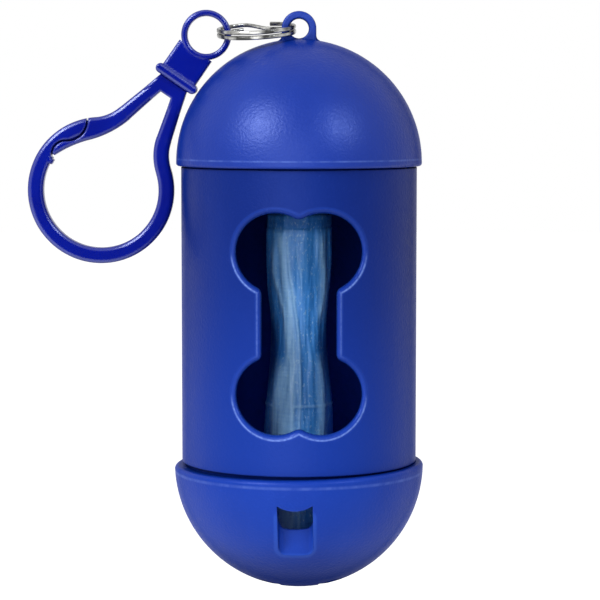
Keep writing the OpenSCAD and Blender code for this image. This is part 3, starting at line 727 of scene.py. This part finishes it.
def make_wound_bags(material):
    """Tightly wound bags: stepped layers on both ends, and a slightly uneven side."""
    form = open_tube(WOUND_FOOT, WOUND_TOP, segments=160, rings=60)
    for vert in form.verts:
        turn = turn_of(vert)
        set_round(vert, turn, WOUND_R + waves(turn, vert.co.z, WOUND_WAVES))
    middle = (WOUND_TOP + WOUND_FOOT) / 2
    rims = [e for e in form.edges if e.is_boundary]
    for at_foot, step in ((True, -LAYER_STEP), (False, LAYER_STEP)):
        ring = [e for e in rims if (e.verts[0].co.z < middle) == at_foot]
        for layer in range(LAYERS):
            made = bmesh.ops.extrude_edge_only(form, edges=ring)["geom"]
            ring = [g for g in made if isinstance(g, bmesh.types.BMEdge)]
            verts = [g for g in made if isinstance(g, bmesh.types.BMVert)]
            shrink = 1 - LAYER_IN / (LAYERS_R - LAYER_IN * layer)
            bmesh.ops.scale(form, verts=verts, vec=(shrink, shrink, 1))
            bmesh.ops.translate(form, verts=verts, vec=(0, 0, step if layer % 2 else -step))
    count = len(form.verts)
    # Painted shade all over, with almost no painted highlight
    return place_piece("wound_bags", form, "roll", "bag_film", material, ["bag_roll"],
                       fold=[0.05] * count, deep=[0.72] * count)


def make_gathered_tail(material):
    """Next bag's end: a fluted cone from under the core, twisted down to the outlet."""
    form = open_tube(TAIL_FOOT, TAIL_TOP, segments=120, rings=60)
    folds = []
    deeps = []
    for vert in form.verts:
        turn = turn_of(vert)
        part = (TAIL_TOP - vert.co.z) / (TAIL_TOP - TAIL_FOOT)
        flute = math.cos(FLUTES * turn + FLUTE_TWIST * part)
        r = TAIL_R + TAIL_FLARE * (1 - part) ** 3
        set_round(vert, turn, r * (1 + FLUTE_DEPTH * flute * (0.3 + 0.7 * part)))
        # Painted highlights on the flutes' crests, painted shade in their hollows
        folds.append(max(0, flute) * 0.7)
        deeps.append(0.15 + 0.25 * max(0, -flute))
    rims = [e for e in form.edges if e.is_boundary]
    bmesh.ops.holes_fill(form, edges=rims, sides=0)
    return place_piece("gathered_tail", form, "roll", "bag_film", material, ["bag_tail"],
                       fold=folds, deep=deeps)


def on_clasp(x, y, depth=0):
    """Point of the clasp's flat drawing, as it hangs, in millimetres."""
    t = math.radians(CLASP_TILT)
    return Vector((EYE[0] + x * math.cos(t) + y * math.sin(t), depth,
                   EYE[1] - x * math.sin(t) + y * math.cos(t)))


def make_arm_root(material):
    """Head of the hook, moulded in one with both arms."""
    form = bmesh.new()
    corners = []
    for x, y in ARM_ROOT:
        # Its ends dive under the arms' own faces, so that no step shows
        half = ROOT_END_HALF if y < ROOT_ENDS else ROOT_HALF
        corners.append(form.verts.new(on_clasp(x, y, -half)))
    form.faces.new(corners)
    made = bmesh.ops.extrude_face_region(form, geom=form.faces[:])["geom"]
    for vert in [g for g in made if isinstance(g, bmesh.types.BMVert)]:
        vert.co.y = -vert.co.y
    bmesh.ops.recalc_face_normals(form, faces=form.faces)
    outlines = [e for e in form.edges if e.verts[0].co.y * e.verts[1].co.y > 0]
    bmesh.ops.bevel(form, geom=outlines, offset=ROOT_EDGE, segments=4, profile=0.5,
                    affect="EDGES", material=-1)
    piece = place_piece("arm_root", form, None, "clasp_plastic", material)
    piece.modifiers.new("even_shading", "WEIGHTED_NORMAL")
    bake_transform(piece)
    return piece


set_camera()
set_world()
softbox("lamp_left", azimuth=-42, elevation=35, side=0.34, watts=5.8)
softbox("lamp_front", azimuth=-12, elevation=5, side=0.7, watts=2.5)
softbox("lamp_right", azimuth=43, elevation=33, side=0.26, watts=2.4, colour=(0.88, 0.94, 1))
bpy.context.scene.view_settings.view_transform = "Standard"
make_floor()

# The case's pieces are one plastic, written in tones of painted light and shade: the tube darkest at
# its top, the bottom cap lightest
cap_blue = case_plastic("cap_plastic", srgb(7, 42, 141), srgb(11, 48, 151), gloss=0.7, corner_shade=0.3,
                        line=(-20.67 * MM, 0.04 * MM, 0.18 * MM, 0.3))
tube_blue = case_plastic("tube_plastic", srgb(2, 32, 115), srgb(5, 37, 123), gloss=0.32, corner_shade=0.6,
                         rise=(-30 * MM, -66 * MM, srgb(16, 52, 152)), window=True)
foot_blue = case_plastic("foot_plastic", srgb(14, 54, 160), srgb(20, 60, 169), gloss=0.36,
                         corner_shade=0.3, line=(-70.8 * MM, 0.06 * MM, 0.3 * MM, 0.28), slot=True,
                         bottom_shade=(-89.5 * MM, -79 * MM))
clasp_blue = clasp_plastic("clasp_plastic")
film = bag_film_finish("bag_film")
finish("top_cap", cap_blue)
finish("tube", tube_blue)
finish("bottom_cap", foot_blue)
for part in ("clasp_eye", "clasp_hook", "clasp_gate"):
    finish(part, clasp_blue)
finish("split_ring", ring_steel("ring_steel"))
finish("roll_core", core_card("core_card"))
make_loose_bag(film)
make_wound_bags(film)
make_gathered_tail(film)
make_arm_root(clasp_blue)
